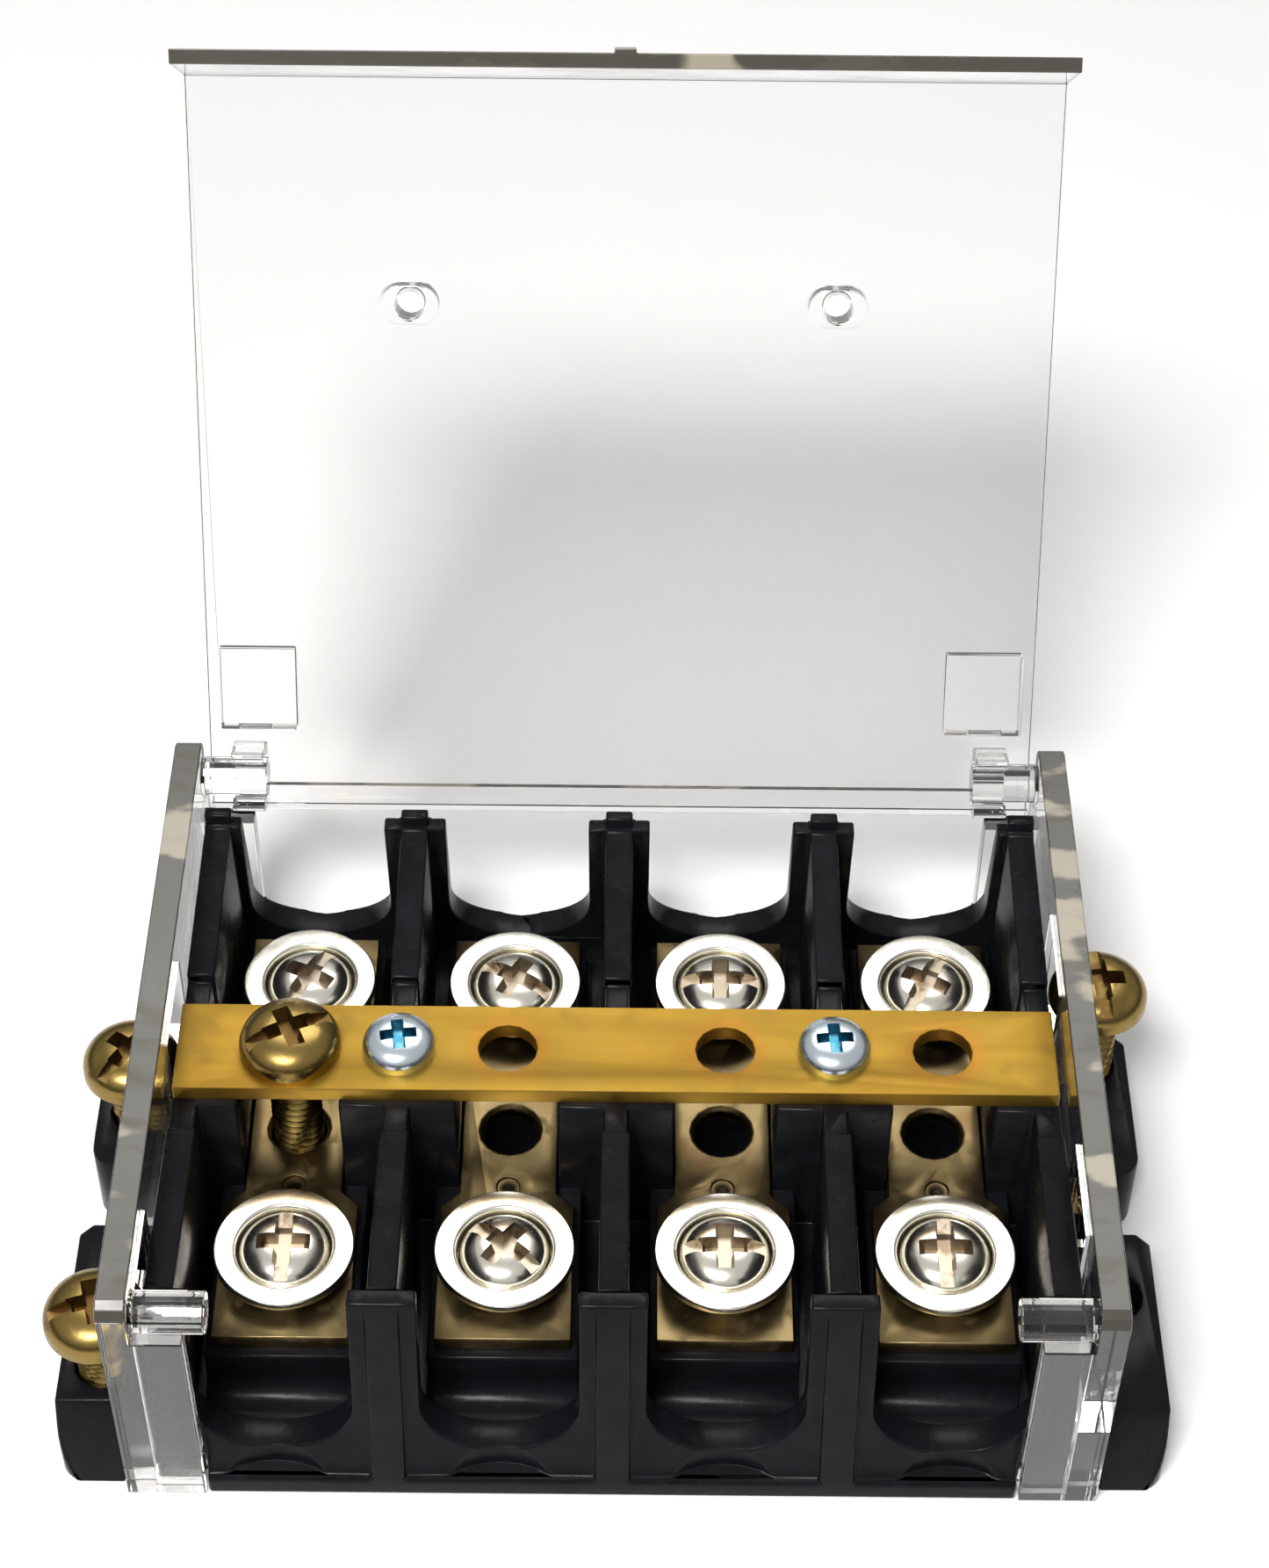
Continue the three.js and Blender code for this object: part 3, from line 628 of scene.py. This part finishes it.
def threaded_shank(tree):
    """A round bar whose side rises and falls along a helix, with a tapered tip."""
    given = tree.given
    bar = tree.node("GeometryNodeMeshCylinder", Vertices=SHANK_SIDES, Side_Segments=SHANK_RINGS,
                    Radius=1.0, Depth=1.0)
    angle, reach, height = around_axis(tree)
    z = tree.math("MULTIPLY", tree.math("SUBTRACT", height, 0.5), given["Length"])
    along = tree.math("DIVIDE", z, given["Thread Pitch"])
    turns = tree.math("ADD", along, tree.math("DIVIDE", angle, -2 * math.pi))
    sawtooth = tree.math("MULTIPLY", tree.math("FRACT", turns), 2.0)
    wave = tree.math("ABSOLUTE", tree.math("SUBTRACT", sawtooth, 1.0))
    dip = tree.math("MULTIPLY", tree.math("POWER", wave, 0.8), given["Thread Depth"])
    tip = tree.math("ADD", z, given["Length"])
    taper = tree.math("MAXIMUM", tree.math("SUBTRACT", given["Thread Depth"], tip), 0.0)
    crest = tree.math("MULTIPLY", given["Shank Diameter"], 0.5)
    radius = tree.math("SUBTRACT", tree.math("SUBTRACT", crest, dip), taper)
    place = polar(tree, tree.math("MULTIPLY", radius, reach), angle, z)
    shaped = tree.node("GeometryNodeSetPosition", Geometry=bar.outputs["Mesh"], Position=place)
    return shaped.outputs["Geometry"]


def domed_head(tree):
    """A pan head: an upright rim that rolls over into a dome."""
    given = tree.given
    drum = tree.node("GeometryNodeMeshCylinder", Vertices=HEAD_SIDES, Side_Segments=HEAD_RINGS,
                     Radius=1.0, Depth=1.0)
    angle, reach, height = around_axis(tree)
    share = tree.math("ADD", height, 0.5)
    lean = tree.math("MULTIPLY", share, math.pi / 2 * DOME_SWEEP)
    full = tree.math("MULTIPLY", given["Head Diameter"], 0.5)
    round_off = tree.math("POWER", tree.math("COSINE", lean), given["Squareness"])
    radius = tree.math("MULTIPLY", tree.math("MULTIPLY", full, round_off), reach)
    rise = tree.math("SUBTRACT", given["Head Height"], given["Rim Height"])
    dome = tree.math("MULTIPLY", tree.math("SINE", lean), rise)
    above_foot = tree.math("COMPARE", share, 0.0, 0.01)
    rim = tree.math("MULTIPLY", tree.math("SUBTRACT", 1.0, above_foot), given["Rim Height"])
    z = tree.math("ADD", dome, rim)
    shaped = tree.node("GeometryNodeSetPosition", Geometry=drum.outputs["Mesh"],
                       Position=polar(tree, radius, angle, z))
    return shaped.outputs["Geometry"]


def tapered_blade(tree, length, width, depth, taper):
    """A cutter whose lower end is narrower than its mouth; its floor is at the recess's depth."""
    given = tree.given
    cube = tree.node("GeometryNodeMeshCube", Size=(1.0, 1.0, 1.0))
    place = tree.node("GeometryNodeInputPosition").outputs[0]
    split = tree.node("ShaderNodeSeparateXYZ", Vector=place).outputs
    share = tree.math("ADD", split["Z"], 0.5)
    widen = tree.math("ADD", tree.math("MULTIPLY", share, 2.0 * taper), 1.0 - taper)
    x = tree.math("MULTIPLY", tree.math("MULTIPLY", split["X"], length), widen)
    y = tree.math("MULTIPLY", tree.math("MULTIPLY", split["Y"], width), widen)
    bottom = tree.math("SUBTRACT", given["Head Height"], depth)
    z = tree.math("ADD", bottom, tree.math("MULTIPLY", share, tree.math("MULTIPLY", depth, 2.0)))
    shaped = tree.node("GeometryNodeSetPosition", Geometry=cube.outputs["Mesh"],
                       Position=tree.vector(x, y, z))
    return tree.node("GeometryNodeSetMaterial", Geometry=shaped.outputs["Geometry"],
                     Material=given["Recess Finish"]).outputs["Geometry"]


SCREW_SIZES = ("Head Diameter", "Head Height", "Rim Height", "Squareness", "Shank Diameter", "Length",
               "Thread Pitch", "Thread Depth", "Recess Width", "Recess Depth", "Slot Width", "Slot Depth")


def make_screw_tree():
    tree = Tree("threaded screw", SCREW_SIZES)
    given = tree.given
    head = tree.node("GeometryNodeSetMaterial", Geometry=domed_head(tree), Material=given["Finish"])
    wing = tree.math("MULTIPLY", given["Recess Width"], WING_SHARE)
    cross_x = tapered_blade(tree, given["Recess Width"], wing, given["Recess Depth"], RECESS_TAPER)
    cross_y = tapered_blade(tree, wing, given["Recess Width"], given["Recess Depth"], RECESS_TAPER)
    long_slot = tree.math("MULTIPLY", given["Head Diameter"], SLOT_OVERRUN)
    slot = tapered_blade(tree, long_slot, given["Slot Width"], given["Slot Depth"], SLOT_TAPER)
    shape = head.outputs["Geometry"]
    for cutter in (cross_x, cross_y, slot):
        cut = tree.node("GeometryNodeMeshBoolean", {"operation": "DIFFERENCE", "solver": "EXACT"})
        tree.group.links.new(shape, cut.inputs[0])
        tree.group.links.new(cutter, cut.inputs[1])
        shape = cut.outputs["Mesh"]
    shank = tree.node("GeometryNodeSetMaterial", Geometry=threaded_shank(tree), Material=given["Finish"])
    both = tree.node("GeometryNodeJoinGeometry")
    tree.group.links.new(shank.outputs["Geometry"], both.inputs[0])
    tree.group.links.new(shape, both.inputs[0])
    realized = tree.node("GeometryNodeRealizeInstances", Geometry=both.outputs[0])
    tree.group.links.new(realized.outputs[0], tree.result["Geometry"])
    return tree


screw_tree = make_screw_tree()


def grow(tree, name, sizes, materials):
    """Runs a Geometry Nodes tree with these sizes and returns its plain mesh."""
    carrier = new_piece(name, bpy.data.meshes.new(name))
    modifier = carrier.modifiers.new("grow", "NODES")
    modifier.node_group = tree.group
    for label, value in {**sizes, **materials}.items():
        modifier[tree.keys[label]] = value
    mesh = settled_mesh(carrier, name)
    bpy.data.objects.remove(carrier)
    return mesh


# How far each screw's slot or cross is turned from the X axis, in degrees.
SCREW_TURNS = {
    "terminal_screw_front_1": 90, "terminal_screw_front_2": -38, "terminal_screw_front_3": 0,
    "terminal_screw_front_4": 90, "terminal_screw_rear_1": 62, "terminal_screw_rear_2": -28,
    "terminal_screw_rear_3": 0, "terminal_screw_rear_4": 62, "shorting_screw_in_bar": 25,
    "stored_screw_left_front": 15, "stored_screw_left_rear": 55, "stored_screw_right_rear": 95,
    "bar_screw_left": 8, "bar_screw_right": 4,
}


SHANK_OVERLAP = 0.2 * MM
RECESS_DEPTH_SHARE = 0.5
SLOT_DEPTH_SHARE = 0.34
NO_SLOT_WIDTH = 0.05 * MM
NO_SLOT_DEPTH = 0.01 * MM
HEAD_SQUARENESS = 0.62


def add_screw(node, head_height, rim, shank, recess, slot_width):
    """A screw in its CAD node's place. The recess is a share of the head's width."""
    low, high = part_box(node)
    slot = slot_of[node]
    wide = min(high.x - low.x, high.y - low.y)
    sizes = {
        "Head Diameter": wide, "Head Height": head_height, "Rim Height": rim,
        "Squareness": HEAD_SQUARENESS,
        "Shank Diameter": shank, "Length": high.z - low.z - head_height + SHANK_OVERLAP,
        "Thread Pitch": THREAD_PITCH, "Thread Depth": THREAD_DEPTH,
        "Recess Width": recess * wide, "Recess Depth": RECESS_DEPTH_SHARE * head_height,
        "Slot Width": max(slot_width, NO_SLOT_WIDTH),
        "Slot Depth": SLOT_DEPTH_SHARE * head_height if slot_width else NO_SLOT_DEPTH,
    }
    finishes = {"Finish": FINISHES[slot], "Recess Finish": RECESSES[slot]}
    mesh = grow(screw_tree, node, sizes, finishes)
    centre = Vector(((low.x + high.x) / 2, (low.y + high.y) / 2, high.z - head_height))
    turn = Matrix.Rotation(math.radians(SCREW_TURNS[node]), 4, "Z")
    mesh.transform(Matrix.Translation(centre) @ turn)
    smooth(mesh, 38.0)
    piece = new_piece(node + "_detailed", mesh)
    hand_over(piece, node)


def add_screws():
    """Slotted terminal screws, plain bar screws and slotted long brass screws."""
    for node in SCREW_TURNS:
        if node.startswith("terminal"):
            add_screw(node, 2.9 * MM, 0.7 * MM, 4.7 * MM, 0.60, 1.25 * MM)
        elif node.startswith("bar"):
            add_screw(node, 2.0 * MM, 0.5 * MM, 3.4 * MM, 0.52, 0.0)
        else:
            add_screw(node, 2.9 * MM, 0.6 * MM, 4.7 * MM, 0.52, 1.15 * MM)


# ---- Turned and flat metal pieces -----------------------------------------

def lathe(name, profile, segments=72):
    """Turns a closed outline of (radius, height) points about the Z axis."""
    shell = bmesh.new()
    rings = []
    for i in range(segments):
        angle = 2 * math.pi * i / segments
        rings.append([shell.verts.new((r * math.cos(angle), r * math.sin(angle), z)) for r, z in profile])
    for i, ring in enumerate(rings):
        following = rings[(i + 1) % segments]
        for j in range(len(profile)):
            k = (j + 1) % len(profile)
            shell.faces.new((ring[j], following[j], following[k], ring[k]))
    bmesh.ops.recalc_face_normals(shell, faces=shell.faces)
    mesh = bpy.data.meshes.new(name)
    shell.to_mesh(mesh)
    shell.free()
    return mesh


def arc(centre, radius, start, end, steps=5):
    """Points of a quarter-turn or so, for rounding an outline's corner."""
    points = []
    for i in range(steps + 1):
        angle = math.radians(start + (end - start) * i / steps)
        points.append((centre[0] + radius * math.cos(angle), centre[1] + radius * math.sin(angle)))
    return points


def add_washer(node):
    """A pressed cup washer: a flat rolled rim round a rounded dish."""
    low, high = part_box(node)
    outer = (high.x - low.x) / 2
    height = high.z - low.z
    sheet = 0.9 * MM
    rim_width = 1.65 * MM
    mouth = outer - rim_width
    bore = 2.65 * MM
    edge = 0.16 * MM
    outer_bend = 0.9 * MM
    inner_bend = 0.7 * MM
    lip = 0.4 * MM
    profile = [(bore, 0.0), (mouth - outer_bend, 0.0)]
    profile += arc((mouth - outer_bend, outer_bend), outer_bend, -80, 0)
    profile += [(mouth + 0.05 * MM, height - sheet - 0.1 * MM), (mouth + 0.2 * MM, height - sheet)]
    profile += arc((outer - edge, height - sheet + edge), edge, -90, 0)
    profile += arc((outer - edge, height - edge), edge, 0, 90)
    profile += arc((mouth + 0.1 * MM, height - lip), lip, 90, 180)
    profile += arc((mouth - 1.0 * MM, sheet + inner_bend), inner_bend, 0, -90)
    profile += [(bore, sheet)]
    mesh = lathe(node, profile)
    mesh.transform(Matrix.Translation(((low.x + high.x) / 2, (low.y + high.y) / 2, low.z)))
    mesh.materials.append(FINISHES[slot_of[node]])
    smooth(mesh, 30.0)
    hand_over(new_piece(node + "_pressed", mesh), node)


def add_rounded(node, radius, suffix):
    """The CAD shape with rounded edges, in its slot's finish."""
    mesh = rounded_copy(node, radius)
    mesh.materials.append(FINISHES[slot_of[node]])
    hand_over(new_piece(node + suffix, mesh), node)


# ---- Clear pieces ---------------------------------------------------------

CLEAR_ROUNDING = 0.12 * MM
TOP_EDGE_BAND = 2 * MM
FOOT_BAND = 0.2 * MM
RIB_BAND = 1.1 * MM


def add_clear(node, suffix, is_edge):
    """A clear moulding whose faces are clear, apart from the edges that is_edge picks out."""
    mesh = rounded_copy(node, CLEAR_ROUNDING)
    mesh.shade_flat()
    mesh.materials.append(FINISHES["clear_plastic"])
    mesh.materials.append(EDGE_CLEAR)
    for face in mesh.polygons:
        if is_edge(face):
            face.material_index = 1
    hand_over(new_piece(node + suffix, mesh), node)


def add_end_plate(side):
    """The top of the sheet's rim is an edge; its flanges and pegs are clear."""
    node = f"end_plate_{side}"
    low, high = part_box(node)
    slack = 0.01 * MM
    inner, outer = (high.x - END_SHEET, high.x) if side == "right" else (low.x, low.x + END_SHEET)

    def is_edge(face):
        in_sheet = inner - slack < face.center.x < outer + slack
        return in_sheet and abs(face.normal.x) < 0.5 and face.center.z > high.z - TOP_EDGE_BAND

    add_clear(node, "_clear", is_edge)


def add_cover():
    """The foot of the front skirt and the rib along the tail show as edges."""
    past_upright = math.radians(OPEN_ANGLE - 90)
    inward = Vector((0, -math.cos(past_upright), math.sin(past_upright)))
    reach = [vertex.co.dot(inward) for vertex in nodes["cover"].data.vertices]
    foot = max(reach) - FOOT_BAND
    rib = min(reach) + RIB_BAND

    def is_edge(face):
        depth = face.center.dot(inward)
        facing = face.normal.dot(inward)
        return (depth > foot and facing > 0.5) or (depth < rib and abs(facing) < 0.5)

    add_clear("cover", "_clear", is_edge)


# ---- The whole block ------------------------------------------------------

add_camera()
add_studio()
add_rounded("base_moulding", 0.22 * MM, "_moulded")
add_rounded("shorting_bar", 0.12 * MM, "_rolled")
for number in range(1, 5):
    add_rounded(f"terminal_strap_{number}", 0.12 * MM, "_stamped")
    add_rounded(f"strap_rivet_{number}", 0.08 * MM, "_peened")
    add_washer(f"washer_front_{number}")
    add_washer(f"washer_rear_{number}")
for side in ("left", "right"):
    add_rounded(f"bar_insert_{side}", 0.08 * MM, "_turned")
    add_end_plate(side)
add_cover()
add_screws()
